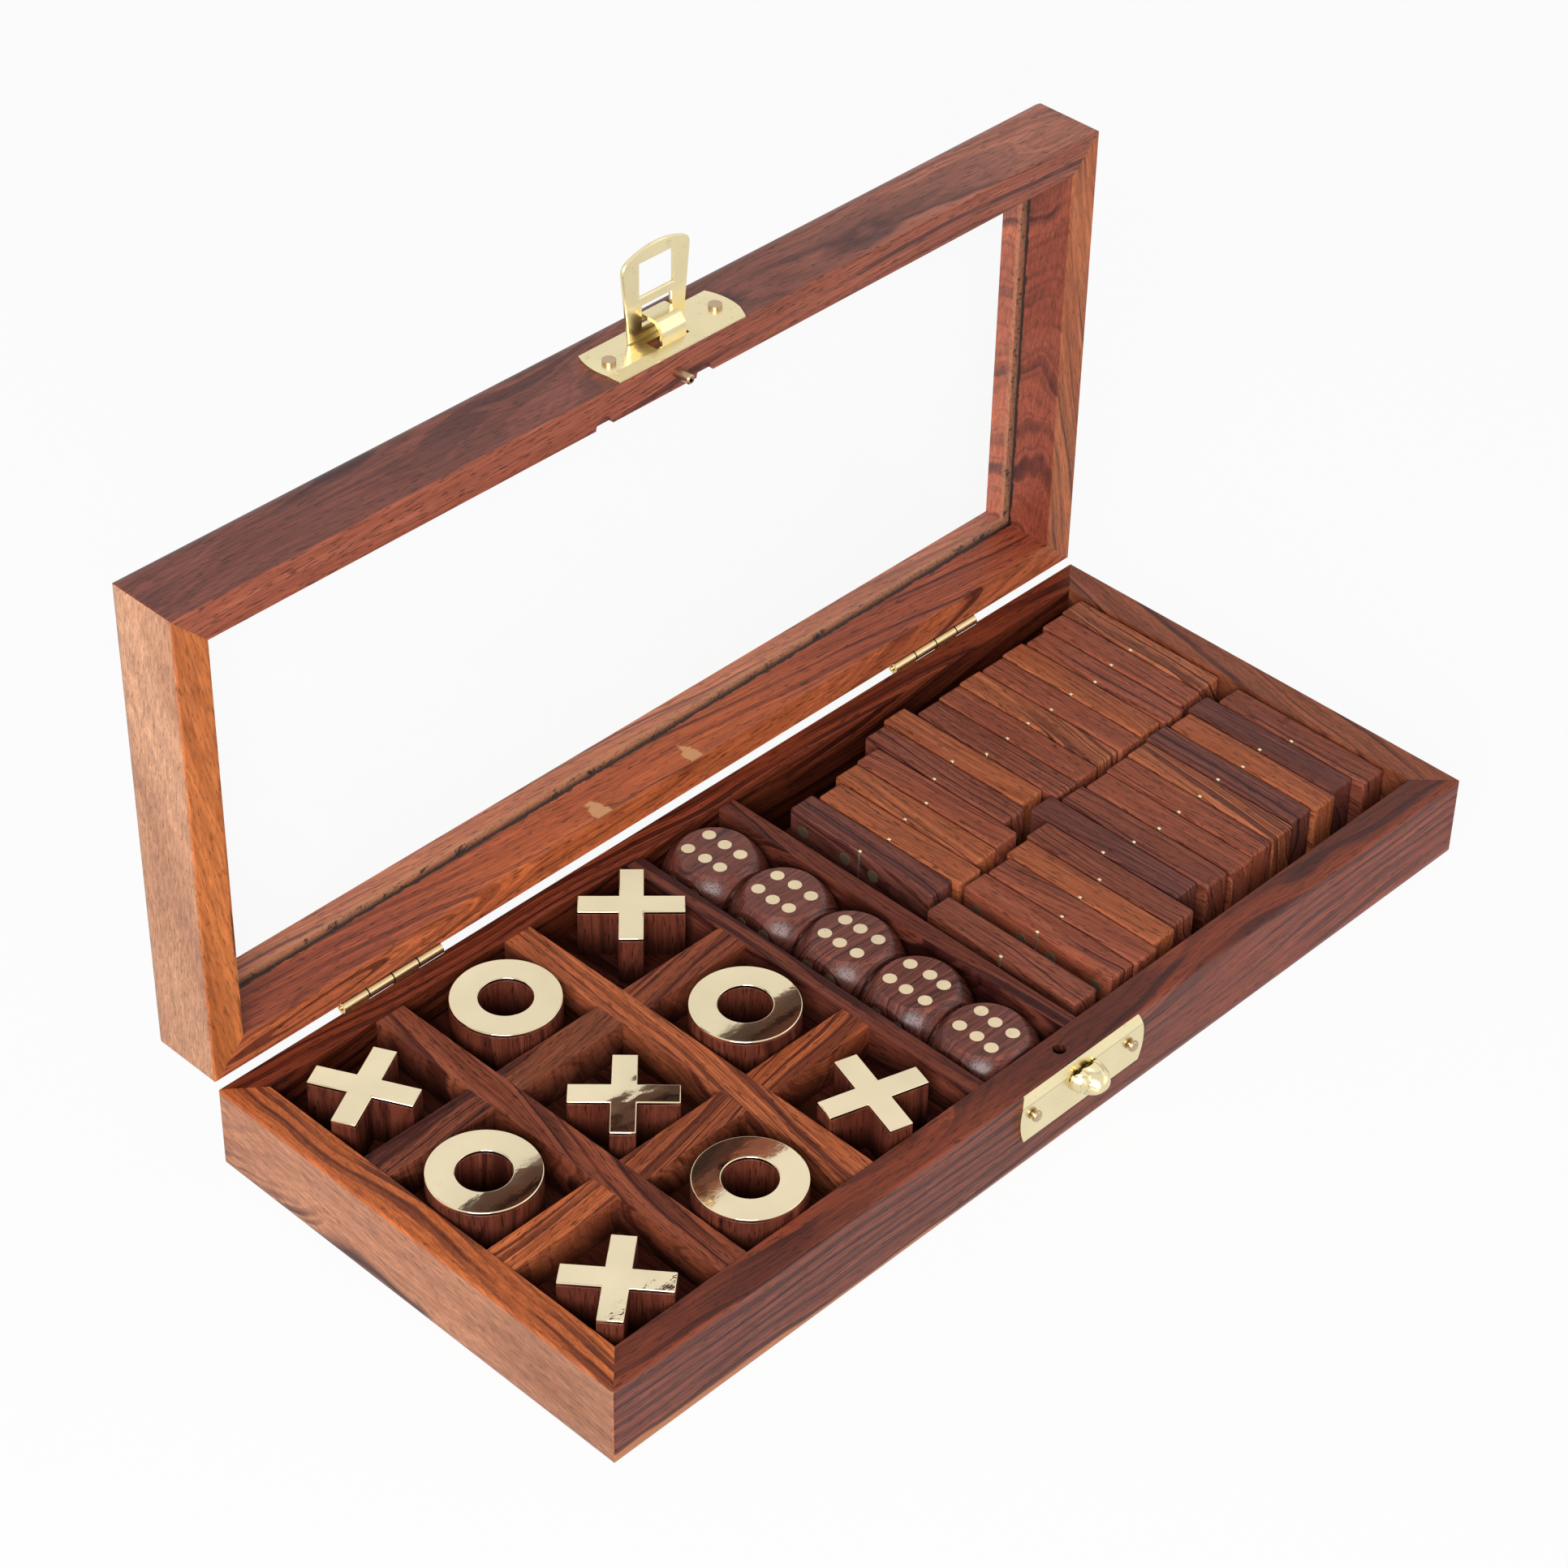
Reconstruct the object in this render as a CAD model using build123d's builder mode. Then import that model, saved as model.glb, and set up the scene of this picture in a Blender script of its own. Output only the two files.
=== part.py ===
from build123d import *
import os
from itertools import product
from math import cos, radians, sin

os.makedirs("parts", exist_ok=True)

# A wooden games compendium: a shallow mitred box with a glazed, hinged lid, holding a
# noughts-and-crosses board, five dice and a set of dominoes.
# Millimetres. X runs along the long side, +Y towards the hinges, +Z up. The origin is the
# centre of the underside. The lid is drawn standing open, square to the base.

# ---------------------------------------------------------------- driving dimensions
# loose pieces
die_size = 18.6
die_edge_radius = 12.3  # radius of the cylinders that round a die's edges
die_corner_reach = 12.1  # from a die's centre to its cut corners
dice_count = 5
dice_gap = 0.85  # free play between dice, and at both ends of their channel

domino_length = 41.2
domino_height = 17.8
domino_thickness = 6.95
domino_arris = 0.55
domino_gap = 0.36
dominoes_per_column = 14
finger_room = 6.8  # free strip at the end of the domino tray

token_height = 11.8  # crosses and noughts, brass included
brass_cap = 0.8
cross_span = 22.4
cross_arm = 5.2
nought_radius = 11.55
nought_hole = 5.65
token_clearance = 0.3  # least gap between a token and the walls of its cell
cap_edge = 0.2  # bevel round a cap
# column from the left, row from the front, turn in degrees, and how far the token leans
# towards the right and the back wall of its cell, as a share of its free play
crosses = [
    (0, 2, 27.2, -0.89, -0.44),
    (0, 0, 39.3, -0.94, -1.0),
    (1, 1, 44.8, -0.59, -0.84),
    (2, 2, 45.7, 1.0, 0.5),
    (2, 0, 73.1, -0.93, -1.0),
]
noughts = [(0, 1, -0.79, -0.03), (1, 2, 0.24, -0.63), (2, 1, -0.72, -0.68), (1, 0, -0.67, -1.0)]

# loose placement of the rest, again as shares of the free play
dice_lean = [0.12, 0.5, 0.43, 0.21, -0.12]  # back to front
back_dominoes = [
    0.25, 0.29, 0.39, 0.34, 0.38, 0.36, 0.39, 0.42, 0.2, 0.29, 0.57, 0.61, 0.75, 0.65,
]  # gap to the back rail, right to left
front_dominoes = [
    0.41, 0.6, 0.52, 0.58, 0.52, 0.5, 0.46, 0.51, 0.66, 0.32, 0.26, 0.17, 0.19, 0.2,
]  # gap to the front rail, right to left
last_domino_slide = 0.56  # of the finger room, left of its neighbours

# case
rail_width = 7.9
base_back_rail_width = 6.6
lid_back_rail_width = 7.4
base_height = 21.8
lid_height = 19.2
outer_round = 3.6  # round-over under the base and on top of the lid
corner_round = 0.8  # upright corners
arris = 0.4  # edges of the parting faces
parting_gap = 0.2  # between base and lid when shut

bottom_thickness = 3.4
bottom_rebate = 3.0

# trays
cell_depth = 9.2
cells_per_side = 3
column_divider = 7.1
row_divider = 7.5
divider_drop = 0.4  # dividers stop this far below the rim
channel_wall = 4.3
dice_channel_play = 2.3  # each side of a die, across its channel

# glazing
pane_thickness = 1.4
pane_height = 12.2  # of the pane's inner face over the lid's parting face
pane_groove = 1.7
groove_depth = 3.4
pane_edge_play = 0.3
scoop_radius = 2.3  # half-moon scoops in the lid's rails, in line with the channel walls
scoop_depth = 1.2

# butt hinges
hinge_length = 26.8
hinge_spacing = 162.0
knuckles = 4
knuckle_gap = 0.2
barrel_radius = 1.27
pin_radius = 0.6
pin_clearance = 0.05
pin_setback = 0.6
axis_set_out = 0.76  # hinge axis behind the base's back face
axis_rise = 0.35  # hinge axis above the rim
leaf_thickness = 0.6
leaf_reach = 4.6  # depth of a leaf's kerf in its rail
leaf_cover = 0.5  # wood between a kerf and the parting face
barrel_clearance = 0.25

# clasp
clasp_x = 2.2  # clasp centre, a little right of the middle
plate_half_length = 17.4
plate_bulge = 1.3
plate_thickness = 0.9
plate_height = 11.7
plate_margin = 0.4  # from the parting edge to a plate
plate_bevel_width = 2.5
plate_bevel_depth = 0.6
nail_spacing = 29.3
nail_head_radius = 1.45
nail_head_height = 0.7
nail_shank_radius = 0.6
nail_length = 5.0
nail_clearance = 0.05

strap_width = 6.6  # tongue pressed out of the lid's plate, curled over the hasp's root bar
strap_thickness = 0.7
strap_rise = 3.7  # the strap's middle over the hasp's pivot, outwards
strap_over = 2.1  # and how far its curl reaches past the pivot
strap_slope = 1.7
strap_bend = 0.85
strap_slot_width = 9.2
strap_slot_height = 3.0

pivot_height = 8.3  # hasp pivot above the lid's parting face
pivot_set_out = 2.0  # hasp pivot off the lid's front face
hasp_thickness = 0.9
hasp_reach = 19.5
hasp_shoulder = 17.0
hasp_half_width = 9.4
hasp_root_half_width = 7.6
hasp_root_bar = 0.95  # half the depth of the root bar
hasp_corner = 2.4
hasp_edge = 0.2
window_width = 9.2
window_near = 8.5  # window's near and far edges, from the pivot
window_far = 16.2
loop_opening_width = 7.9
loop_opening_near = 1.1
loop_opening_far = 6.4

nose_width = 8.0  # keeper pressed out of the base's plate, which the window drops over
nose_height = 4.4
nose_top = -3.0  # top of the nose, from the rim
nose_reach = 4.1
nose_taper = 8
nose_corner = 1.7
nose_wall = 0.6
nose_crown = 0.8

locating_pin_radius = 1.1
locating_pin_tip = 0.3
locating_pin_bore = 0.6
locating_pin_slit = 0.5
locating_pin_reach = 4.2
locating_pin_seat = 4.0
locating_hole_clearance = 0.3
locating_hole_depth = 5.2

# ---------------------------------------------------------------- derived layout
inner_depth = dice_count * die_size + (dice_count + 1) * dice_gap
cell = (inner_depth - (cells_per_side - 1) * row_divider) / cells_per_side
grid_length = cells_per_side * cell + (cells_per_side - 1) * column_divider
dice_channel = die_size + 2 * dice_channel_play
domino_pitch = domino_thickness + domino_gap
domino_tray = dominoes_per_column * domino_pitch + finger_room

box_length = 2 * rail_width + grid_length + 2 * channel_wall + dice_channel + domino_tray
box_depth = rail_width + inner_depth + base_back_rail_width
half_length = box_length / 2
half_depth = box_depth / 2
rim = base_height

left_inner = -half_length + rail_width
right_inner = half_length - rail_width
front_inner = -half_depth + rail_width
back_inner = half_depth - base_back_rail_width
grid_right = left_inner + grid_length
dice_left = grid_right + channel_wall
dice_right = dice_left + dice_channel
domino_left = dice_right + channel_wall
grid_floor_top = rim - cell_depth
divider_top = rim - divider_drop

# The lid's own frame: x along the box, y from front to hinge, z from the parting face to the
# top of the lid. Standing open, its z points back and its y points down.
axis_y = half_depth + axis_set_out
axis_z = rim + axis_rise
lid_axis_z = axis_rise - parting_gap
lid_plane = Plane(
    origin=(0, axis_y - lid_axis_z, axis_z + axis_y), x_dir=(1, 0, 0), z_dir=(0, 1, 0)
)
lid_front_inner = -half_depth + rail_width
lid_back_inner = half_depth - lid_back_rail_width

# Both clasp plates are drawn in like frames: x along the box, y up from the parting edge of
# the shut box, z outwards from the wood.
lid_face = Plane(origin=lid_plane.from_local_coords((clasp_x, -half_depth, 0)))
base_face = Plane(origin=(clasp_x, -half_depth, rim), x_dir=(1, 0, 0), z_dir=(0, -1, 0))
nail_places = [(-nail_spacing / 2, 0), (nail_spacing / 2, 0)]
lid_plate_middle = plate_margin + plate_height / 2


def write(piece, name):
    """Label a finished part and write its STEP file."""
    piece.label = name
    export_step(piece, f"parts/{name}.step")


def ring_corners(inner_front, inner_back):
    """Outer and inner corners of a mitred ring, from front left, anticlockwise."""
    outer = [(-half_length, -half_depth), (half_length, -half_depth)]
    outer += [(half_length, half_depth), (-half_length, half_depth)]
    inner = [(left_inner, inner_front), (right_inner, inner_front)]
    inner += [(right_inner, inner_back), (left_inner, inner_back)]
    return list(zip(outer, inner))


def mitred_rail(start, end, height, round_level, sharp_level):
    """One rail of a mitred frame on the XY plane, between its start and end corners.

    Its outer edge is rounded over at one level and eased at the other.
    """
    (start_outer, start_inner), (end_outer, end_inner) = start, end
    outer_middle = (Vector(*start_outer) + Vector(*end_outer)) / 2
    with BuildPart() as rail:
        with BuildSketch():
            with BuildLine():
                Polyline(start_outer, end_outer, end_inner, start_inner, close=True)
            make_face()
        extrude(amount=height)
        fillet(rail.edges().sort_by_distance(outer_middle + (0, 0, round_level))[0], outer_round)
        chamfer(rail.edges().sort_by_distance(outer_middle + (0, 0, sharp_level))[0], arris)
        with BuildSketch():
            outline = Rectangle(box_length, box_depth)
            fillet(outline.vertices(), corner_round)
        extrude(amount=height, mode=Mode.INTERSECT)
    return rail.part


def hinge_starts():
    """X of the left end of each hinge."""
    return [side * hinge_spacing / 2 - hinge_length / 2 for side in (-1, 1)]


def hinge_section(start):
    """Plane across a hinge at its left end, with its sketch y to the back and z up."""
    return Plane.YZ.offset(start)


# ---------------------------------------------------------------- base frame
with BuildPart() as base_cuts:
    cavity_middle = ((left_inner + right_inner) / 2, (front_inner + back_inner) / 2)
    with BuildSketch():
        with Locations(cavity_middle):
            Rectangle(
                right_inner - left_inner + 2 * bottom_rebate, inner_depth + 2 * bottom_rebate
            )
    extrude(amount=bottom_thickness)
    for start in hinge_starts():
        with BuildSketch(hinge_section(start - knuckle_gap)):
            with Locations((axis_y, axis_z)):
                Circle(barrel_radius + barrel_clearance)
        extrude(amount=hinge_length + 2 * knuckle_gap)
        with BuildSketch(hinge_section(start)):
            with Locations((half_depth - leaf_reach, rim - leaf_cover)):
                Rectangle(2 * leaf_reach, leaf_thickness, align=(Align.MIN, Align.MAX))
        extrude(amount=hinge_length)
    with BuildSketch(Plane.XY.offset(rim)):
        with Locations((0, (front_inner - half_depth) / 2)):
            Circle(locating_pin_radius + locating_hole_clearance)
    extrude(amount=-locating_hole_depth)
    with BuildSketch(base_face):
        with Locations((0, -lid_plate_middle)):
            with Locations(nail_places):
                Circle(nail_shank_radius + nail_clearance)
    extrude(amount=-(nail_length - plate_thickness))

base_corners = ring_corners(front_inner, back_inner)
base_front_rail, base_right_rail, base_back_rail, base_left_rail = (
    mitred_rail(base_corners[k], base_corners[(k + 1) % 4], base_height, 0, base_height)
    - base_cuts.part
    for k in range(4)
)
write(base_front_rail, "base_front_rail")
write(base_back_rail, "base_back_rail")
write(Compound(children=[base_left_rail, base_right_rail]), "base_end_rails")

# ---------------------------------------------------------------- floors and dividers
with BuildPart() as bottom_panel:
    with BuildSketch():
        with Locations(cavity_middle):
            Rectangle(
                right_inner - left_inner + 2 * bottom_rebate, inner_depth + 2 * bottom_rebate
            )
    extrude(amount=bottom_thickness)
write(bottom_panel.part, "bottom_panel")

with BuildPart() as grid_floor:
    with BuildSketch(Plane.XY.offset(bottom_thickness)):
        with Locations((left_inner, front_inner)):
            Rectangle(grid_length, inner_depth, align=Align.MIN)
    extrude(amount=grid_floor_top - bottom_thickness)
write(grid_floor.part, "grid_floor")

column_starts = [left_inner + k * (cell + column_divider) for k in range(cells_per_side)]
row_starts = [front_inner + k * (cell + row_divider) for k in range(cells_per_side)]
divider_height = divider_top - grid_floor_top
halving = grid_floor_top + divider_height / 2  # level where the crossed slats meet

with BuildPart() as column_dividers:
    with BuildSketch(Plane.XY.offset(grid_floor_top)):
        with Locations([(x + cell, front_inner) for x in column_starts[:-1]]):
            Rectangle(column_divider, inner_depth, align=Align.MIN)
    extrude(amount=divider_height)
    with BuildSketch(Plane.XY.offset(grid_floor_top)):
        with Locations([(left_inner, y + cell) for y in row_starts[:-1]]):
            Rectangle(grid_length, row_divider, align=Align.MIN)
    extrude(amount=halving - grid_floor_top, mode=Mode.SUBTRACT)

with BuildPart() as row_dividers:
    with BuildSketch(Plane.XY.offset(grid_floor_top)):
        with Locations([(left_inner, y + cell) for y in row_starts[:-1]]):
            Rectangle(grid_length, row_divider, align=Align.MIN)
    extrude(amount=divider_height)
    with BuildSketch(Plane.XY.offset(halving)):
        with Locations([(x + cell, front_inner) for x in column_starts[:-1]]):
            Rectangle(column_divider, inner_depth, align=Align.MIN)
    extrude(amount=divider_top - halving, mode=Mode.SUBTRACT)
write(
    Compound(children=[*column_dividers.part.solids(), *row_dividers.part.solids()]),
    "grid_dividers",
)

with BuildPart() as channel_walls:
    with BuildSketch(Plane.XY.offset(bottom_thickness)):
        with Locations((grid_right, front_inner), (dice_right, front_inner)):
            Rectangle(channel_wall, inner_depth, align=Align.MIN)
    extrude(amount=divider_top - bottom_thickness)
write(channel_walls.part, "channel_walls")

# ---------------------------------------------------------------- lid frame and glass
lid_opening_middle = (0, (lid_front_inner + lid_back_inner) / 2)
lid_opening = (right_inner - left_inner, lid_back_inner - lid_front_inner)
with BuildPart() as lid_cuts:  # drawn in the lid's own frame
    with BuildSketch(Plane.XY.offset(pane_height)):
        with Locations(lid_opening_middle):
            Rectangle(*(side + 2 * groove_depth for side in lid_opening))
    extrude(amount=pane_groove)
    with BuildSketch():
        with Locations(*((x + channel_wall / 2, lid_front_inner) for x in (grid_right, dice_right))):
            Circle(scoop_radius)
    extrude(amount=scoop_depth)
    for start in hinge_starts():
        with BuildSketch(Plane.YZ.offset(start - knuckle_gap)):
            with Locations((axis_y, lid_axis_z)):
                Circle(barrel_radius + barrel_clearance)
        extrude(amount=hinge_length + 2 * knuckle_gap)
        with BuildSketch(Plane.YZ.offset(start)):
            with Locations((half_depth - leaf_reach, leaf_cover)):
                Rectangle(2 * leaf_reach, leaf_thickness, align=Align.MIN)
        extrude(amount=hinge_length)
    with BuildSketch():
        with Locations((0, (lid_front_inner - half_depth) / 2)):
            Circle(locating_pin_radius)
    extrude(amount=locating_pin_seat)
    with BuildSketch(Plane.XZ.offset(half_depth)):
        with Locations((clasp_x, lid_plate_middle)):
            with Locations(nail_places):
                Circle(nail_shank_radius + nail_clearance)
    extrude(amount=-(nail_length - plate_thickness))

lid_corners = ring_corners(lid_front_inner, lid_back_inner)
lid_front_rail, lid_right_rail, lid_back_rail, lid_left_rail = (
    lid_plane.location
    * (
        mitred_rail(lid_corners[k], lid_corners[(k + 1) % 4], lid_height, lid_height, 0)
        - lid_cuts.part
    )
    for k in range(4)
)
write(lid_front_rail, "lid_front_rail")
write(lid_back_rail, "lid_back_rail")
write(Compound(children=[lid_left_rail, lid_right_rail]), "lid_end_rails")

with BuildPart() as glass_pane:
    with BuildSketch(lid_plane.offset(pane_height)):
        with Locations(lid_opening_middle):
            Rectangle(*(side + 2 * (groove_depth - pane_edge_play) for side in lid_opening))
    extrude(amount=pane_thickness)
write(glass_pane.part, "glass_pane")

# ---------------------------------------------------------------- hinges
knuckle_pitch = hinge_length / knuckles
leaf_edge = axis_y - barrel_radius - barrel_clearance  # a leaf stops clear of the barrel


def hinge_half(section, across, level, grows, turn):
    """One side of a butt hinge: its leaf, and every second knuckle of the barrel.

    section is the plane at the hinge's end, level the leaf's face nearest the parting face,
    grows the side on which the leaf lies, and turn which knuckles it has, 0 or 1.
    """
    with BuildPart() as half:
        with BuildSketch(section):
            with Locations((half_depth - leaf_reach, level)):
                Rectangle(leaf_edge + leaf_reach - half_depth, leaf_thickness, align=(Align.MIN, grows))
        extrude(amount=hinge_length)
        for k in range(turn, knuckles, 2):
            with BuildSketch(section.offset(k * knuckle_pitch + knuckle_gap / 2)):
                with Locations((half_depth - leaf_reach, level)):
                    Rectangle(leaf_reach + axis_set_out, leaf_thickness, align=(Align.MIN, grows))
                with Locations((axis_y, across)):
                    Circle(barrel_radius)
            extrude(amount=knuckle_pitch - knuckle_gap)
        with BuildSketch(section):
            with Locations((axis_y, across)):
                Circle(pin_radius + pin_clearance)
        extrude(amount=hinge_length, mode=Mode.SUBTRACT)
    return half.part


base_halves = []
lid_halves = []
for start in hinge_starts():
    section = hinge_section(start)
    with BuildPart() as base_half:
        add(hinge_half(section, axis_z, rim - leaf_cover, Align.MAX, turn=0))
        with BuildSketch(section.offset(pin_setback)):
            with Locations((axis_y, axis_z)):
                Circle(pin_radius)
        extrude(amount=hinge_length - 2 * pin_setback)
    base_halves += base_half.part.solids()
    lid_section = Plane(
        origin=lid_plane.from_local_coords((start, 0, 0)), x_dir=(0, 0, -1), z_dir=(1, 0, 0)
    )
    lid_halves += hinge_half(lid_section, lid_axis_z, leaf_cover, Align.MIN, turn=1).solids()
write(Compound(children=base_halves), "hinge_base_halves")
write(Compound(children=lid_halves), "hinge_lid_halves")


# ---------------------------------------------------------------- clasp
def clasp_plate_blank(face, low, bevelled):
    """A plate with bowed ends and nail holes, its front bevelled along one long edge.

    face is the plane on the wood, low the plate's lower edge on it, and bevelled the edge
    nearest the parting: 0 for the lower, -1 for the upper.
    """
    high = low + plate_height
    middle = low + plate_height / 2
    with BuildPart() as blank:
        with BuildSketch(face):
            with BuildLine():
                Line((-plate_half_length, low), (plate_half_length, low))
                ThreePointArc(
                    (plate_half_length, low),
                    (plate_half_length + plate_bulge, middle),
                    (plate_half_length, high),
                )
                Line((plate_half_length, high), (-plate_half_length, high))
                ThreePointArc(
                    (-plate_half_length, high),
                    (-plate_half_length - plate_bulge, middle),
                    (-plate_half_length, low),
                )
            make_face()
            with Locations((0, middle)):
                with Locations(nail_places):
                    Circle(nail_shank_radius + nail_clearance, mode=Mode.SUBTRACT)
        extrude(amount=plate_thickness)
        front = blank.faces().sort_by(Axis(face.origin, face.z_dir))[-1]
        edge = front.edges().sort_by(Axis(face.origin, face.y_dir))[bevelled]
        chamfer(edge, plate_bevel_width, plate_bevel_depth, reference=front)
    return blank.part


def nail(spot):
    """A flat-headed nail: spot is the plane on the plate's front, z outwards."""
    with BuildPart() as one:
        with BuildSketch(spot):
            Circle(nail_head_radius)
        extrude(amount=nail_head_height)
        with BuildSketch(spot):
            Circle(nail_shank_radius)
        extrude(amount=-nail_length)
    return one.part


with BuildPart() as clasp_plate:
    add(clasp_plate_blank(lid_face, plate_margin, bevelled=0))
    strap_foot = plate_margin + plate_bevel_width + strap_thickness / 2
    with BuildSketch(lid_face):
        with Locations((0, strap_foot)):
            Rectangle(strap_slot_width, strap_slot_height, align=(Align.CENTER, Align.MIN))
    extrude(amount=plate_thickness, mode=Mode.SUBTRACT)
    strap_side = Plane.YZ.offset(clasp_x - strap_width / 2)
    strap_path = [
        (strap_foot, 0),
        (strap_foot, pivot_set_out + strap_rise / 2),
        (strap_foot + strap_slope, pivot_set_out + strap_rise),
        (pivot_height + strap_slope / 3, pivot_set_out + strap_rise),
        (pivot_height + strap_over, pivot_set_out + 2 / 3 * strap_rise),
        (pivot_height + strap_over, pivot_set_out + strap_rise / 3),
    ]
    with BuildSketch(strap_side):
        with BuildLine():
            FilletPolyline(
                *(
                    strap_side.to_local_coords(Vector(lid_face.from_local_coords((0, *spot))))
                    for spot in strap_path
                ),
                radius=strap_bend,
            )
        trace(line_width=strap_thickness)
    extrude(amount=strap_width)
write(clasp_plate.part, "clasp_plate")

hasp_plane = Plane(
    origin=lid_face.from_local_coords((0, pivot_height, pivot_set_out)),
    x_dir=(1, 0, 0),
    z_dir=(0, -1, 0),
)
with BuildPart() as hasp:  # drawn standing straight out from the lid
    with BuildSketch(hasp_plane):
        with BuildLine():
            Line((-hasp_root_half_width, -hasp_root_bar), (hasp_root_half_width, -hasp_root_bar))
            Line((hasp_root_half_width, -hasp_root_bar), (hasp_half_width, hasp_shoulder))
            ThreePointArc(
                (hasp_half_width, hasp_shoulder), (0, hasp_reach), (-hasp_half_width, hasp_shoulder)
            )
            Line((-hasp_half_width, hasp_shoulder), (-hasp_root_half_width, -hasp_root_bar))
        outline = make_face()
        root, shoulder = outline.vertices().group_by(Axis.Y)
        fillet(shoulder, hasp_corner)
        for width, near, far in (
            (window_width, window_near, window_far),
            (loop_opening_width, loop_opening_near, loop_opening_far),
        ):
            with Locations((0, near)):
                Rectangle(width, far - near, align=(Align.CENTER, Align.MIN), mode=Mode.SUBTRACT)
    extrude(amount=hasp_thickness / 2, both=True)
    broad = hasp.faces().filter_by(hasp_plane)
    chamfer(broad.edges(), hasp_edge)
write(hasp.part, "hasp")

with BuildPart() as strike_plate:
    add(clasp_plate_blank(base_face, -plate_margin - plate_height, bevelled=-1))
    nose_middle = (0, nose_top - nose_height / 2)
    with BuildSketch(base_face):
        with Locations(nose_middle):
            RectangleRounded(nose_width, nose_height, nose_corner)
    extrude(amount=nose_reach, taper=nose_taper)
    crown = strike_plate.faces().sort_by(Axis.Y)[0]
    chamfer(crown.edges(), nose_crown)
    with BuildSketch(base_face):
        with Locations(nose_middle):
            Rectangle(nose_width - 4 * nose_wall, nose_height - 2 * nose_wall)
    extrude(amount=nose_reach - nose_wall, taper=nose_taper, mode=Mode.SUBTRACT)
    with BuildSketch(base_face.offset(plate_thickness)):
        with Locations(nose_middle):
            Rectangle(nose_width - 3 * nose_wall, nose_height, align=(Align.CENTER, Align.MIN))
    extrude(amount=nose_reach - plate_thickness - 2 * nose_wall, mode=Mode.SUBTRACT)
write(strike_plate.part, "strike_plate")


def plate_nails(face, middle):
    """The two nails of a plate, heads on its front."""
    spots = [face.from_local_coords((x, middle, plate_thickness)) for x, _ in nail_places]
    return [nail(Plane(origin=spot, x_dir=face.x_dir, z_dir=face.z_dir)) for spot in spots]


with BuildPart() as locating_pin:  # a slotted pin, standing out of the lid's parting face
    with BuildSketch(lid_plane.offset(-locating_pin_reach)):
        with Locations((0, (lid_front_inner - half_depth) / 2)):
            Circle(locating_pin_radius)
    extrude(amount=locating_pin_reach + locating_pin_seat)
    tip = locating_pin.faces().sort_by(Axis.Y)[0]
    chamfer(tip.edges(), locating_pin_tip)
    with BuildSketch(lid_plane.offset(-locating_pin_reach)):
        with Locations((0, (lid_front_inner - half_depth) / 2)):
            Circle(locating_pin_bore)
            Rectangle(locating_pin_radius, locating_pin_slit, align=(Align.MIN, Align.CENTER))
    extrude(amount=locating_pin_reach + locating_pin_seat, mode=Mode.SUBTRACT)
lid_nails = plate_nails(lid_face, lid_plate_middle)
write(Compound(children=[*lid_nails, locating_pin.part]), "lid_brass_pins")
write(Compound(children=plate_nails(base_face, -lid_plate_middle)), "base_nails")

# ---------------------------------------------------------------- noughts and crosses
with BuildSketch() as cross_outline:
    Rectangle(cross_span, cross_arm)
    Rectangle(cross_arm, cross_span)
with BuildPart() as cross_block:
    add(cross_outline.sketch)
    extrude(amount=token_height - brass_cap)
with BuildPart() as cross_cap:
    with BuildSketch(Plane.XY.offset(token_height - brass_cap)):
        add(cross_outline.sketch)
    extrude(amount=brass_cap)
    chamfer(cross_cap.faces().sort_by(Axis.Z)[-1].edges(), cap_edge)

with BuildPart() as nought:  # block and cap in one, which keeps its many facets few
    with BuildSketch():
        Circle(nought_radius)
        Circle(nought_hole, mode=Mode.SUBTRACT)
    extrude(amount=token_height)


def cell_spot(column, row, lean_x, lean_y, half_extent):
    """Centre of a token in its cell."""
    play = cell / 2 - half_extent - token_clearance
    x = column_starts[column] + cell / 2 + lean_x * play
    y = row_starts[row] + cell / 2 + lean_y * play
    return (x, y, grid_floor_top)


for k, (column, row, turn, lean_x, lean_y) in enumerate(crosses, 1):
    c, s = cos(radians(turn)), sin(radians(turn))
    half_extent = max(cross_span * c + cross_arm * s, cross_span * s + cross_arm * c) / 2
    spot = cell_spot(column, row, lean_x, lean_y, half_extent)
    place = Location(spot, (0, 0, turn))
    write(Compound(children=[place * cross_block.part, place * cross_cap.part]), f"cross_{k}")
for k, (column, row, lean_x, lean_y) in enumerate(noughts, 1):
    spot = cell_spot(column, row, lean_x, lean_y, nought_radius)
    write(Location(spot) * nought.part, f"nought_{k}")

# ---------------------------------------------------------------- dice
with BuildPart() as die:
    Box(die_size, die_size, die_size)
    for across in (Plane.XY, Plane.XZ, Plane.YZ):
        with BuildSketch(across):
            Circle(die_edge_radius)
        extrude(amount=die_size, both=True, mode=Mode.INTERSECT)
    for corner in product((-1, 1), repeat=3):
        outwards = Vector(*corner).normalized()
        cut = Plane(origin=outwards * die_corner_reach, z_dir=outwards)
        split(bisect_by=cut, keep=Keep.BOTTOM)
for k, lean in enumerate(dice_lean):
    x = (dice_left + dice_right) / 2 + lean * dice_channel_play
    y = back_inner - dice_gap - die_size / 2 - k * (die_size + dice_gap)
    write(Location((x, y, bottom_thickness + die_size / 2)) * die.part, f"die_{k + 1}")

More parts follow.
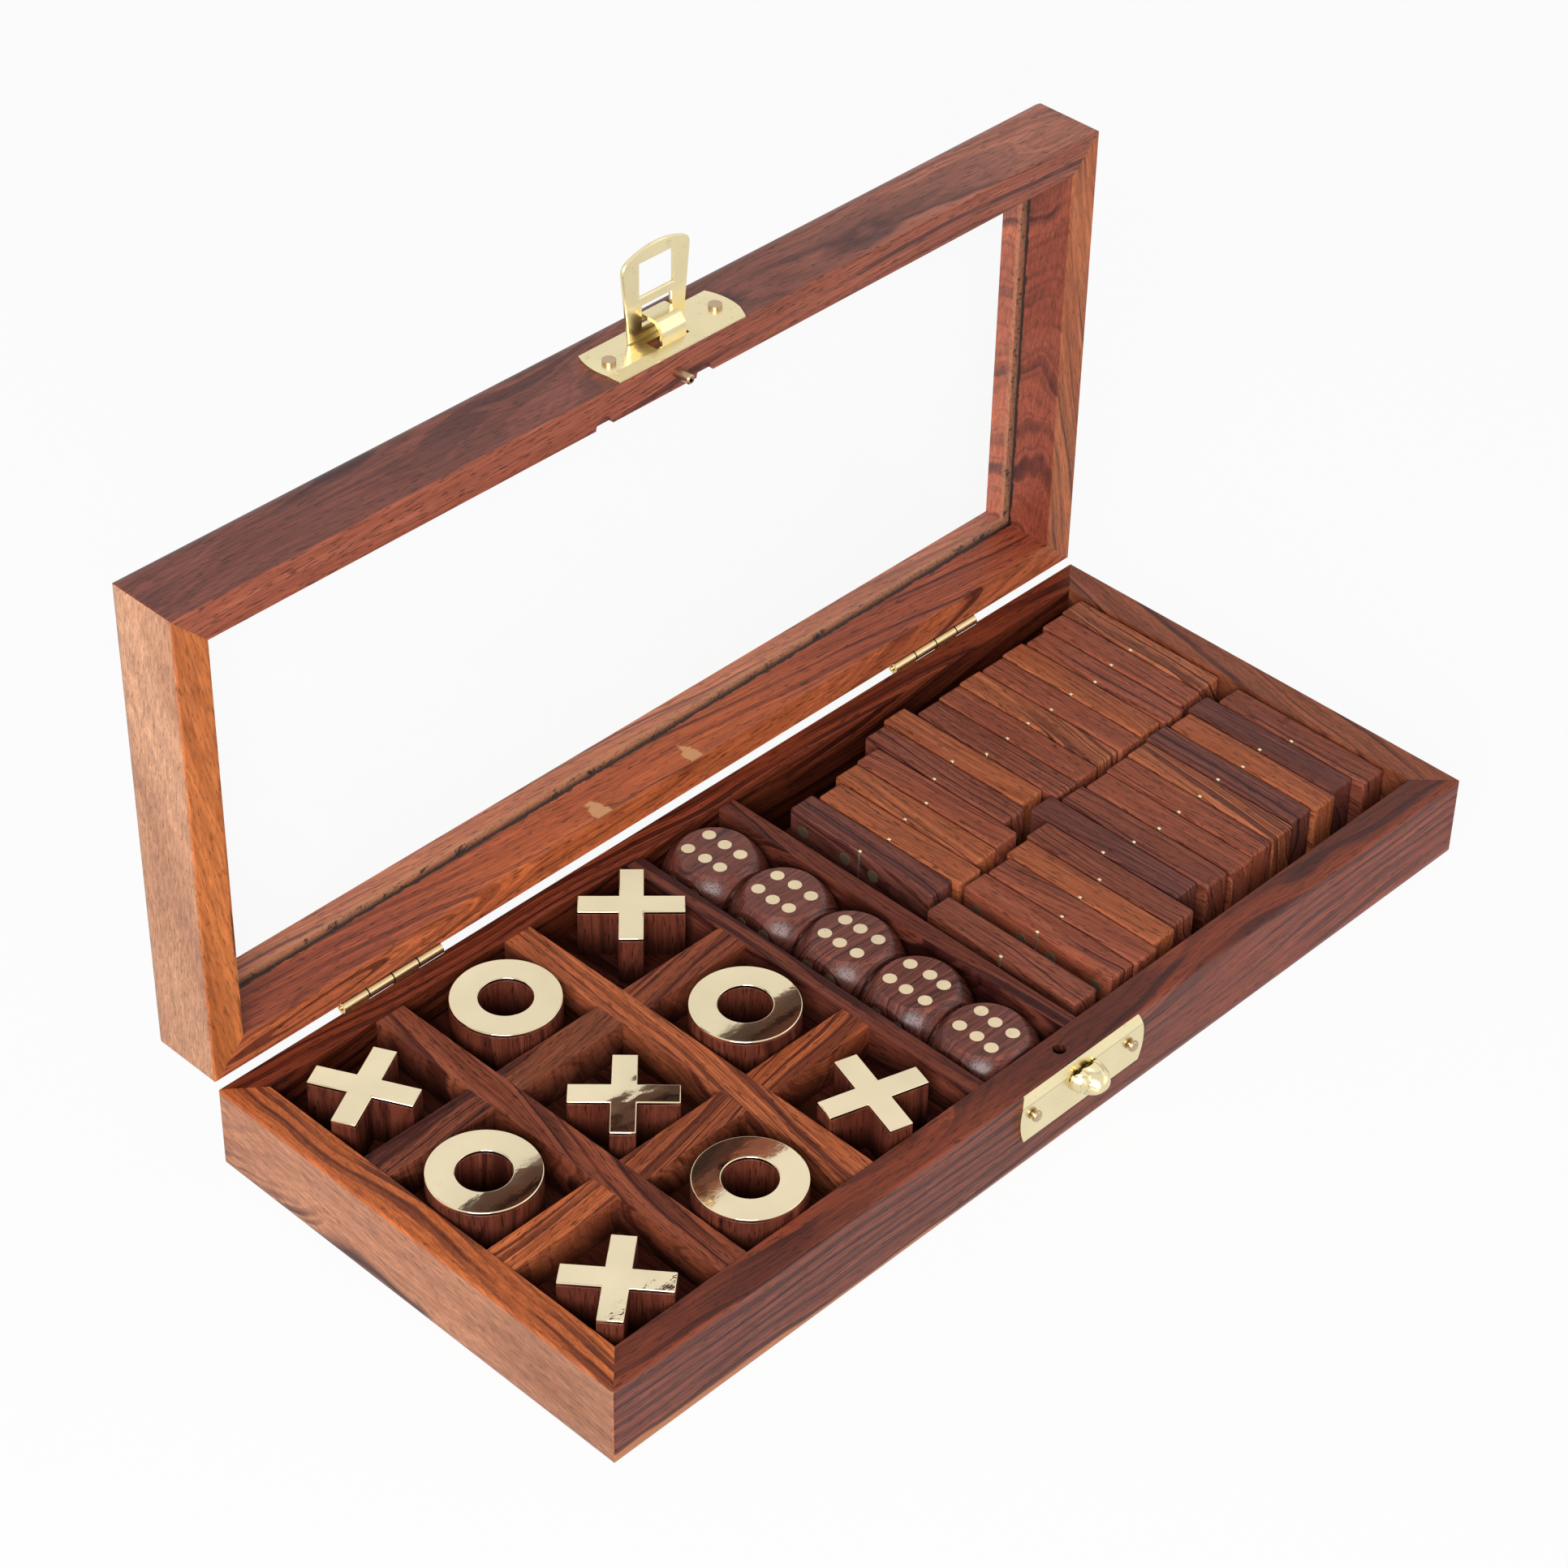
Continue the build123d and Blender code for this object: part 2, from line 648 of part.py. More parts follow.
# ---------------------------------------------------------------- dominoes
with BuildPart() as domino:  # standing on a long edge, its marked face to the left
    Box(domino_thickness, domino_length, domino_height)
    chamfer(domino.edges(), domino_arris)
domino_play = inner_depth - 2 * domino_length
for k in range(dominoes_per_column):
    x = right_inner - domino_gap - domino_thickness / 2 - k * domino_pitch
    slide = last_domino_slide * finger_room if k == dominoes_per_column - 1 else 0
    back_y = back_inner - back_dominoes[k] * domino_play - domino_length / 2
    front_y = front_inner + front_dominoes[k] * domino_play + domino_length / 2
    rows = ((x, back_y, k + 1), (x - slide, front_y, dominoes_per_column + k + 1))
    for across, along, number in rows:
        place = Location((across, along, bottom_thickness + domino_height / 2))
        write(place * domino.part, f"domino_{number:02d}")
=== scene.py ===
"""Looks of the games compendium: hardwood case, glass, brass fittings, tokens, dice and dominoes.

Everything is in metres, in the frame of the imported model: X along the box, +Y towards the
hinges, +Z up, the origin under the middle of the base. The lid is stored standing open.
"""

import math
import random
from itertools import product

import bmesh
import bpy
from mathutils import Euler, Matrix, Vector


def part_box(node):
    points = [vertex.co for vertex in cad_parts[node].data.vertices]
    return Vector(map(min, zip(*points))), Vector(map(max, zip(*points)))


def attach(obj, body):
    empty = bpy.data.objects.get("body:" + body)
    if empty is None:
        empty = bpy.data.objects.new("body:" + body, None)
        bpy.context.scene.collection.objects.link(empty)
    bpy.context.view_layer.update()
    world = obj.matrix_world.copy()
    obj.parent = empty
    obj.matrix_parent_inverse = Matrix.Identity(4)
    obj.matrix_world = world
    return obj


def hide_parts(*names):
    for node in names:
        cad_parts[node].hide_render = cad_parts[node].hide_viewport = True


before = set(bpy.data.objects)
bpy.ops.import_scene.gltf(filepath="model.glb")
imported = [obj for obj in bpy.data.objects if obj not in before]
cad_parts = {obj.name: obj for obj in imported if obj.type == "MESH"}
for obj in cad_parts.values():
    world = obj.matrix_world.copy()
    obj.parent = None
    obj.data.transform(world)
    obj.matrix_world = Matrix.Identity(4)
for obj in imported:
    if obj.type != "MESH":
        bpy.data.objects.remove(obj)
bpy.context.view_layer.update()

MM = 0.001

# ---------------------------------------------------------------- sizes
PIP_RADIUS = 1.5 * MM
PIP_PROUD = 0.03 * MM
PIP_DEPTH = 0.4 * MM
PIP_CROWN = (0.15 * MM, 0.02 * MM)  # how far in from its edge a pip is crowned, and how high
DIE_BALL = 12.3 * MM  # the ball that rounds a die's corners
DIE_PIP_SIDE = 3.1 * MM  # from a die face's middle to its outer pips
DIE_PIP_END = 4.6 * MM
DIE_PIP_LOOSE = 0.3 * MM  # how far off their places the pips were drilled
DIE_RIM = 0.7 * MM  # the softened rim of a die's flats
DOMINO_ROUND = 0.7 * MM
DOMINO_PIP_END = 6.2 * MM  # pip rows along a domino, from the middle of its half
DOMINO_PIP_SIDE = 4.4 * MM  # and across it
DOMINO_LINE_WIDTH = 0.75 * MM
DOMINO_LINE_DEPTH = 0.6 * MM
DOMINO_LINE_EDGE = 0.1 * MM
BLOCK_EDGE = 0.15 * MM  # the rounding of a token's block
CAP_EDGE = 0.22 * MM
CAP_THICKNESS = 0.8 * MM
CROSS_SPAN = 22.4 * MM
CROSS_ARM = 5.2 * MM
NOUGHT_HOLE = 5.65 * MM
CLASP_X = 2.2 * MM
PLATE_THICKNESS = 0.9 * MM
NAIL_SPACING = 29.3 * MM
NAIL_SHANK = 0.6 * MM
NAIL_HEAD = 1.25 * MM
NAIL_LENGTH = 5.0 * MM
HOOD_HALF = Vector((4.4, 5.6, 2.75)) * MM  # half the hood's width, its reach, half its height
HOOD_DROP = 4.9 * MM  # from the rim to its middle
HOOD_SHEET = 0.45 * MM
RIM_ABOVE_PLATE = 0.4 * MM
PIN_HOLE = (0.0, -52.35 * MM)
PIN_HOLE_RADIUS = 1.3 * MM
PIN_HOLE_MOUTH = 1.6 * MM  # its radius where it is bruised
SQUARE = 0.99995  # cosine of the angle within which a face counts as square to an axis
CROSS_TURNS = (27.2, 39.3, 44.8, 45.7, 73.1)  # degrees, as they lie in their cells


# ---------------------------------------------------------------- shader maths
class Wire:
    """One socket of a node. Arithmetic on wires and numbers adds Math nodes."""

    def __init__(self, finish, socket):
        self.finish = finish
        self.socket = socket

    def maths(self, operation, *others):
        values = dict(enumerate((self, *others)))
        return self.finish.node("Math", {"operation": operation}, values)

    def __add__(self, other):
        return self.maths("ADD", other)

    def __sub__(self, other):
        return self.maths("SUBTRACT", other)

    def __rsub__(self, other):
        return self.finish.node("Math", {"operation": "SUBTRACT"}, {0: other, 1: self})

    def __mul__(self, other):
        return self.maths("MULTIPLY", other)

    def __pow__(self, other):
        return self.maths("POWER", other)

    __radd__ = __add__
    __rmul__ = __mul__

    def smooth(self, low, high):
        """0 below low, 1 above high, and an easy curve between."""
        settings = {"interpolation_type": "SMOOTHSTEP"}
        return self.finish.node("MapRange", settings, {0: self, 1: low, 2: high})


class Nodes:
    """A node tree under construction."""

    def __init__(self, tree):
        self.tree = tree

    def node(self, kind, settings=None, sockets=None, out=0):
        """Add a node: its settings first, then the values or wires of its sockets."""
        made = self.tree.nodes.new("ShaderNode" + kind)
        for key, value in (settings or {}).items():
            if key == "stops":
                self.set_stops(made.color_ramp, value)
            else:
                setattr(made, key, value)
        for key, value in (sockets or {}).items():
            self.feed(made.inputs[key], value)
        return Wire(self, made.outputs[out])

    def set_stops(self, ramp, stops):
        while len(ramp.elements) < len(stops):
            ramp.elements.new(0.5)
        for element, (place, colour) in zip(ramp.elements, stops):
            element.position = place
            element.color = (*colour, 1)

    def feed(self, socket, value):
        if isinstance(value, Wire):
            self.tree.links.new(value.socket, socket)
        elif socket.type == "RGBA":
            socket.default_value = (*value, 1)
        else:
            socket.default_value = value

    def shows_background(self):
        """1 for the rays that see the background itself, from the camera, metal or glass."""
        path = self.node("LightPath").socket.node
        camera, glossy, through = (
            Wire(self, path.outputs[f"Is {kind} Ray"]) for kind in ("Camera", "Glossy", "Transmission")
        )
        return camera.maths("MAXIMUM", glossy).maths("MAXIMUM", through)


class Finish(Nodes):
    """A material under construction: one Principled surface and the nodes that feed it."""

    def __init__(self, name):
        self.material = bpy.data.materials.new(name)
        self.material.use_nodes = True
        super().__init__(self.material.node_tree)
        self.surface = self.tree.nodes["Principled BSDF"]

    def set(self, **sockets):
        """Set the surface's own sockets, spaces in their names written as underscores."""
        for key, value in sockets.items():
            self.feed(self.surface.inputs[key.replace("_", " ")], value)
        return self

    def place(self):
        return self.node("TexCoord", out="Object")

    def axes(self, point):
        """The X, Y and Z of a point, as wires."""
        split = self.node("SeparateXYZ", sockets={0: point}).socket.node
        return [Wire(self, output) for output in split.outputs]

    def turned(self, point, turn, shift=(0, 0, 0), scale=(1, 1, 1)):
        angles = tuple(math.radians(angle) for angle in turn)
        sockets = {"Vector": point, "Rotation": angles, "Location": shift, "Scale": scale}
        return self.node("Mapping", sockets=sockets)

    def noise(self, point, scale=1.0, detail=3.0, rough=0.5, stretch=None, warp=0.0):
        if stretch:
            point = self.node(
                "VectorMath", {"operation": "MULTIPLY"}, {0: point, 1: stretch}
            )
        sockets = {"Vector": point, "Scale": scale, "Detail": detail}
        sockets |= {"Roughness": rough, "Distortion": warp}
        return self.node("TexNoise", sockets=sockets, out=0)

    def mix(self, share, first, second):
        settings = {"data_type": "RGBA", "clamp_factor": True}
        made = self.node("Mix", settings, {0: share, 6: first, 7: second}).socket.node
        return Wire(self, made.outputs[2])

    def tint(self, colour, shade):
        """A colour scaled in all its channels by a wire."""
        settings = {"operation": "SCALE"}
        return self.node("VectorMath", settings, {0: colour, "Scale": shade})

    def dye(self, colour, share):
        """A colour multiplied by another, channel by channel."""
        if not isinstance(colour, Wire):
            return tuple(a * b for a, b in zip(colour, share))
        return self.node("VectorMath", {"operation": "MULTIPLY"}, {0: colour, 1: share})

    def bump(self, height, distance, strength=1.0):
        sockets = {"Height": height, "Distance": distance, "Strength": strength}
        return self.node("Bump", sockets=sockets)


# ---------------------------------------------------------------- hardwood
GRAIN_TURN = {"x": (0, 0, 0), "y": (0, 0, -90), "z": (0, 90, 0)}
PALE = (1.28, 1.36, 1.40)  # early wood, heart and dark streak, as shares of a board's own colour
HEART = (0.84, 0.80, 0.80)
STREAK = (0.30, 0.26, 0.36)


def between(wire, low, high, soft):
    """1 where a place lies between two levels."""
    return wire.smooth(low - soft, low + soft) * (1 - wire.smooth(high - soft, high + soft))


def region(finish, x=None, y=None, z=None, soft=0.3):
    """1 inside a box given by ranges of x, y and z in millimetres, with soft edges."""
    return math.prod(
        between(wire, limits[0] * MM, limits[1] * MM, soft * MM)
        for wire, limits in zip(finish.axes(finish.place()), (x, y, z))
        if limits
    )


def patched(finish, value, patches):
    """A number, with that of each patch laid over it where its ranges say."""
    for other, ranges in patches:
        mask = region(finish, **ranges)
        value = (1 - mask) * value + mask * other
    return value


def grain(finish, tone, along, seed, lean=(0, 0, 0), ring=3.5, pith=(40, 25), streaks=1.0, pores=1.0):
    """Colour and height of a sawn board whose mean colour is tone.

    The growth rings are cylinders round a pith that runs along the board, pith millimetres
    off it, and the board is sawn lean degrees off it. ring is their spacing in millimetres.
    """
    sawn = finish.turned(finish.turned(finish.place(), GRAIN_TURN[along]), lean)
    shift = (seed * 0.37, seed * 0.11, seed * 0.23)
    board = finish.turned(sawn, (0, 0, 0), shift=shift)
    sway = finish.noise(board, stretch=(11, 34, 34), detail=1.5) - 0.5
    wobble = finish.noise(board, stretch=(45, 160, 160), detail=2.0) - 0.5
    _, across, up = finish.axes(sawn)
    off_y, off_z = across - pith[0] * MM, up - pith[1] * MM
    radius = (off_y * off_y + off_z * off_z) ** 0.5 + sway * 0.016 + wobble * 0.0016
    years = radius * (1 / (ring * MM)) + seed * 3.1
    one_axis = {"noise_dimensions": "1D"}
    broad = finish.node("TexNoise", one_axis, {"W": years, "Scale": 0.55, "Detail": 3.0})
    narrow = finish.node("TexNoise", one_axis, {"W": years, "Scale": 2.3, "Detail": 2.0})
    hair = finish.node("TexNoise", one_axis, {"W": years, "Scale": 8.0, "Detail": 2.0})
    hair = hair.smooth(0.46, 0.68)
    cloud = finish.noise(board, stretch=(20, 60, 60), detail=3.0)
    fibre = finish.noise(board, stretch=(48, 1500, 1500), detail=3.0, rough=0.7)
    vessel = finish.noise(board, stretch=(300, 2900, 2900), detail=1.0).smooth(0.60, 0.68)

    body = finish.mix(
        (broad * 0.6 + cloud * 0.4).smooth(0.38, 0.62),
        finish.dye(tone, HEART),
        finish.dye(tone, PALE),
    )
    dark = broad.smooth(0.50, 0.58) * 0.5 + narrow.smooth(0.52, 0.62) * 0.6
    dark = dark * cloud.smooth(0.30, 0.56) * streaks
    colour = finish.mix(dark, body, finish.dye(tone, STREAK))
    shade = (fibre * 1.9 + 0.21) * (1 - hair * cloud * streaks * 0.45)
    shade = shade * (1 - vessel * (0.6 * pores))
    return finish.tint(colour, shade), fibre * 0.3 - vessel * pores


def face_tones(finish, colour, faces):
    """A board's colour, with that of each face laid over it where its ranges say."""
    for patch, ranges in faces:
        colour = finish.mix(region(finish, **ranges), colour, patch)
    return colour


def oiled(finish, shade, height, gloss, shine):
    """The hand-rubbed surface of a board, given its colour and the height of its grain."""
    handled = finish.noise(finish.place(), scale=120, detail=3.0)
    finish.set(
        Base_Color=shade,
        Roughness=handled * 0.18 + (gloss - 0.09),
        Normal=finish.bump(height, 0.04 * MM, 0.7),
        Specular_IOR_Level=shine,
    )
    return finish.material


def wood(
    name, colour, along, seed, faces=(), marks=(), gloss=0.45, shine=0.22, streaks=1.0, veins=(), **board
):
    """A board's finish. faces are (colour, ranges) of the places with a colour of their own,
    veins are (streaks, ranges) of those with more or fewer dark streaks, and marks are
    functions that draw over the finished colour."""
    finish = Finish(name)
    tone = face_tones(finish, colour, faces)
    streaks = patched(finish, streaks, veins)
    shade, height = grain(finish, tone, along, seed, streaks=streaks, **board)
    for mark in marks:
        shade = mark(finish, shade)
    return oiled(finish, shade, height, gloss, shine)


def slat_wood(name, colour, faces, rows, seed, marks):
    """Crossed slats: the grain runs along y, and along x inside the ranges in rows."""
    finish = Finish(name)
    tone = face_tones(finish, colour, faces)
    sawn = {"ring": 3.0, "pith": (30, 30), "lean": (0, 3, 7), "streaks": 1.5}
    along_y, relief_y = grain(finish, tone, "y", seed, **sawn)
    sawn = {"ring": 2.4, "pith": (40, 20), "lean": (0, 4, -9), "streaks": 1.7}
    along_x, relief_x = grain(finish, tone, "x", seed + 1, **sawn)
    crosswise = sum(region(finish, **ranges) for ranges in rows)
    shade = finish.mix(crosswise, along_y, along_x)
    for mark in marks:
        shade = mark(finish, shade)
    return oiled(finish, shade, relief_y * (1 - crosswise) + relief_x * crosswise, 0.5, 0.12)


# ---------------------------------------------------------------- marks in the wood, and painted shade
pane_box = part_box("glass_pane")
RAW = (0.60, 0.26, 0.11)  # splinters, never stained
KERF_REACH = {"x": (-121, 121), "z": (28, 130), "soft": 0.1}  # a little over the lid's opening
SPLINTER_REACH = 1.4 * MM
TORN_EDGE = 57.2 * MM  # the edge that the torn spots start from
TORN_SIDE = {"z": (29.9, 40), "y": (57.3, 66), "soft": 0.2}
SAP_LEFT = -127 * MM  # where the sapwood is highest
SAP_HEIGHT = 3.4 * MM
SAP_FALL = 0.018


def saw_kerf(finish, shade):
    """The ragged groove that holds the pane: a dark line of painted shade down in the groove, with
    splinters along its far lip.
    """
    place = finish.place()
    _, y, _ = finish.axes(place)
    torn = finish.noise(place, scale=260, detail=2.0) - 0.5
    chips = finish.noise(place, scale=1100, detail=3.0, rough=0.7)
    lip = y + torn * (1.3 * MM) + (chips - 0.5) * (0.9 * MM)
    near, far = pane_box[0].y, pane_box[1].y
    # painted shade down in the groove
    dark = between(lip, near - 0.7 * MM, far + 0.1 * MM, 0.12 * MM)
    pale = between(lip, far, far + SPLINTER_REACH, 0.35 * MM) * chips.smooth(0.38, 0.56) * 0.7
    inside = region(finish, **KERF_REACH)
    splinters = finish.mix(pale * inside, shade, RAW)
    return finish.mix(dark * inside, splinters, (0.022, 0.009, 0.006))


def painted_shade_below(low, high, share):
    """A mark of painted shade for boards: darker from one height down to another, where they sit deep in
    the case.
    """

    def mark(finish, shade):
        _, _, height = finish.axes(finish.place())
        return finish.tint(shade, height.smooth(low * MM, high * MM) * (1 - share) + share)

    return mark


def pin_hole_shade(finish, shade):
    """The punched hole for the locating pin: painted shade inside it, with a ragged edge where its mouth
    is bruised.
    """
    x, y, _ = finish.axes(finish.place())
    off_x, off_y = x - PIN_HOLE[0], y - PIN_HOLE[1]
    bruise = finish.noise(finish.place(), scale=1400, detail=2.0) - 0.5
    reach = (off_x * off_x + off_y * off_y) ** 0.5 + bruise * (0.9 * MM)
    hole = (1 - reach.smooth(PIN_HOLE_RADIUS, PIN_HOLE_MOUTH)) * 0.9
    return finish.mix(hole, shade, (0.016, 0.007, 0.005))


def sap_edge(finish, shade):
    """A strip of pale sapwood along the lower edge, running out to the right."""
    x, _, z = finish.axes(finish.place())
    wander = finish.noise(finish.place(), scale=60, detail=2.0) * (2.4 * MM)
    top = SAP_HEIGHT - (x - SAP_LEFT) * SAP_FALL + wander
    below = (1 - (z - top).smooth(-0.4 * MM, 0.4 * MM)) * 0.85
    return finish.mix(below, shade, (0.46, 0.17, 0.065))


def torn_spots(finish, shade):
    """Two tongues of raw wood torn from the inner edge, opposite the channel walls."""
    place = finish.place()
    rough = finish.noise(place, scale=650, detail=4.0)
    x, y, _ = finish.axes(place)
    off_y = (y - TORN_EDGE) * 0.38
    spots = 0
    for middle in TORN_SPOTS:
        off_x = x - middle
        reach = (off_x * off_x + off_y * off_y) ** 0.5 + (rough - 0.5) * (2.2 * MM)
        spots = (1 - reach.smooth(1.8 * MM, 2.3 * MM)) + spots
    upper = region(finish, **TORN_SIDE)
    return finish.mix(spots * upper * 0.85, shade, (0.66, 0.33, 0.15))


# ---------------------------------------------------------------- metal and glass
def brass(
    name, colour, rough=0.16, wave=0.0, dents=0.0, lean=0.0, scratch=0.35, tarnish=0.5, shaded=()
):
    """Brass: wave and dents are how far from flat it was polished, in broad and in small
    hollows, lean is how much its face slopes down to the back, scratch is how worn it is,
    and shaded gives (share, ranges) of the places painted lighter or darker than the rest,
    as painted highlight and painted shade."""
    finish = Finish(name)
    place = finish.place()
    smear = finish.noise(place, scale=180, detail=3.0)
    fine = finish.noise(place, stretch=(500, 3800, 900), detail=2.0)
    spots = finish.noise(place, scale=420, detail=4.0, rough=0.7).smooth(0.58, 0.8)
    pits = finish.noise(place, scale=1500, detail=1.0).smooth(0.74, 0.78)
    cloud = finish.noise(place, scale=70, detail=2.0) * 0.3 + 0.85
    dull = tuple(share * 0.5 for share in colour)
    worn = finish.mix(spots * tarnish + pits * scratch, colour, dull)
    # painted highlight and shade where shaded says, over a random cloud of tone
    worn = finish.tint(worn, patched(finish, 1.0, shaded) * cloud)
    roughness = smear * 0.10 + fine * (scratch * 0.12) + (rough - 0.07)
    billow = finish.noise(place, scale=110, detail=1.0)
    hollows = finish.noise(place, scale=520, detail=2.0)
    height = billow * wave + hollows * dents + fine * (scratch * 0.010)
    if lean:
        height = height - finish.axes(place)[1] * (lean / MM)
    normal = finish.bump(height, 1.0 * MM, 1.0)
    return finish.set(Base_Color=worn, Metallic=1.0, Roughness=roughness, Normal=normal).material


def clear_glass():
    """A clean pane: nearly nothing but its reflections."""
    finish = Finish("pane_glass")
    facing = finish.node("LayerWeight", sockets={"Blend": 0.12}, out="Fresnel")
    dust = finish.noise(finish.place(), scale=60, detail=3.0)
    return finish.set(
        Base_Color=(0.86, 0.93, 0.90),
        Roughness=dust * 0.04 + 0.02,
        Alpha=facing * 0.4 + 0.012,
    ).material


# ---------------------------------------------------------------- pieces
def finished(shape, name, material, body, crisp=35):
    """Make a piece of a bmesh and let it ride on a body.

    Faces square to an axis are shaded flat, so that they mirror as flat ones do. The rest are
    smooth, apart from edges sharper than crisp degrees.
    """
    bmesh.ops.recalc_face_normals(shape, faces=shape.faces)
    mesh = bpy.data.meshes.new(name)
    shape.to_mesh(mesh)
    shape.free()
    piece = bpy.data.objects.new(name, mesh)
    bpy.context.scene.collection.objects.link(piece)
    mesh.materials.append(material)
    mesh.set_sharp_from_angle(angle=math.radians(crisp))
    for face in mesh.polygons:
        face.use_smooth = max(map(abs, face.normal)) < SQUARE
    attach(piece, body)
    return piece


def rounded_box(low, high, radius, segments=3):
    """A box between two corners, all its edges rounded."""
    shape = bmesh.new()
    bmesh.ops.create_cube(shape, size=1.0)
    size = high - low
    bmesh.ops.transform(
        shape,
        matrix=Matrix.Translation((low + high) / 2) @ Matrix.Diagonal((*size, 1)),
        verts=shape.verts,
    )
    soften(shape, shape.edges, radius, segments)
    return shape


def soften(shape, edges, radius, segments):
    """Round some of a shape's edges."""
    bmesh.ops.bevel(
        shape,
        geom=list(edges),
        offset=radius,
        offset_type="OFFSET",
        segments=segments,
        profile=0.5,
        affect="EDGES",
        material=-1,
        clamp_overlap=True,
    )


def add_pip(shape, centre, outwards, sides=20):
    """A slightly crowned brass plug let into a face: outwards is the face's normal."""
    turn = outwards.to_track_quat("Z", "Y").to_matrix().to_4x4()
    made = bmesh.ops.create_cone(
        shape,
        cap_ends=True,
        segments=sides,
        radius1=PIP_RADIUS,
        radius2=PIP_RADIUS,
        depth=PIP_DEPTH,
        matrix=Matrix.Translation(centre - outwards * (PIP_DEPTH / 2 - PIP_PROUD)) @ turn,
    )
    crown = [
        face for vert in made["verts"] for face in vert.link_faces if face.normal.dot(outwards) > 0.9
    ]
    inset, rise = PIP_CROWN
    bmesh.ops.inset_region(shape, faces=list(set(crown)), thickness=inset, depth=rise)


# ---------------------------------------------------------------- pips
SIX = [(side, end) for side in (-1, 1) for end in (-1, 0, 1)]
PIP_LAYOUTS = {
    0: [],
    1: [(0, 0)],
    2: [(-1, -1), (1, 1)],
    3: [(-1, -1), (0, 0), (1, 1)],
    4: [(-1, -1), (-1, 1), (1, -1), (1, 1)],
    5: [(-1, -1), (-1, 1), (1, -1), (1, 1), (0, 0)],
    6: SIX,
}


def add_pips(shape, count, centre, outwards, side, end, loose=0):
    """The pips of one face: side and end are the steps between their rows, and loose is how far
    off their places they were drilled."""
    for across, along in PIP_LAYOUTS[count]:
        place = centre + across * side + along * end
        if loose:
            place += side.normalized() * random.uniform(-loose, loose)
            place += end.normalized() * random.uniform(-loose, loose)
        add_pip(shape, place, outwards)


# ---------------------------------------------------------------- the case
RIM = (21.3, 30)  # heights of the base's parting face
PARTING = (50, 57.3)  # and the lid's, which faces forwards while it stands open
BEYOND_GLASS = (70.7, 90)
LEFT_OUTER = (-200, -119.6)
LEFT_SIDE = (-200, 0)
TORN_SPOTS = (-20.7 * MM, 6.7 * MM)
COLUMN_1, COLUMN_2 = (-91.4, -84.3), (-56.6, -49.5)  # the slats of the board, in x
ROW_1, ROW_2 = (-20.7, -13.2), (14.5, 22.0)  # and in y
CELLS = ((-200, COLUMN_1[0]), (COLUMN_1[1], COLUMN_2[0]), (COLUMN_2[1], 200))  # in x
ROW_TONES = {
    ROW_1: ((0.46, 0.118, 0.039), (0.29, 0.073, 0.028), (0.35, 0.082, 0.026)),
    ROW_2: ((0.185, 0.049, 0.025), (0.222, 0.064, 0.030), (0.247, 0.062, 0.027)),
}
row_faces = [
    (tone, {"x": cell, "y": row})
    for row, tones in ROW_TONES.items()
    for cell, tone in zip(CELLS, tones)
]

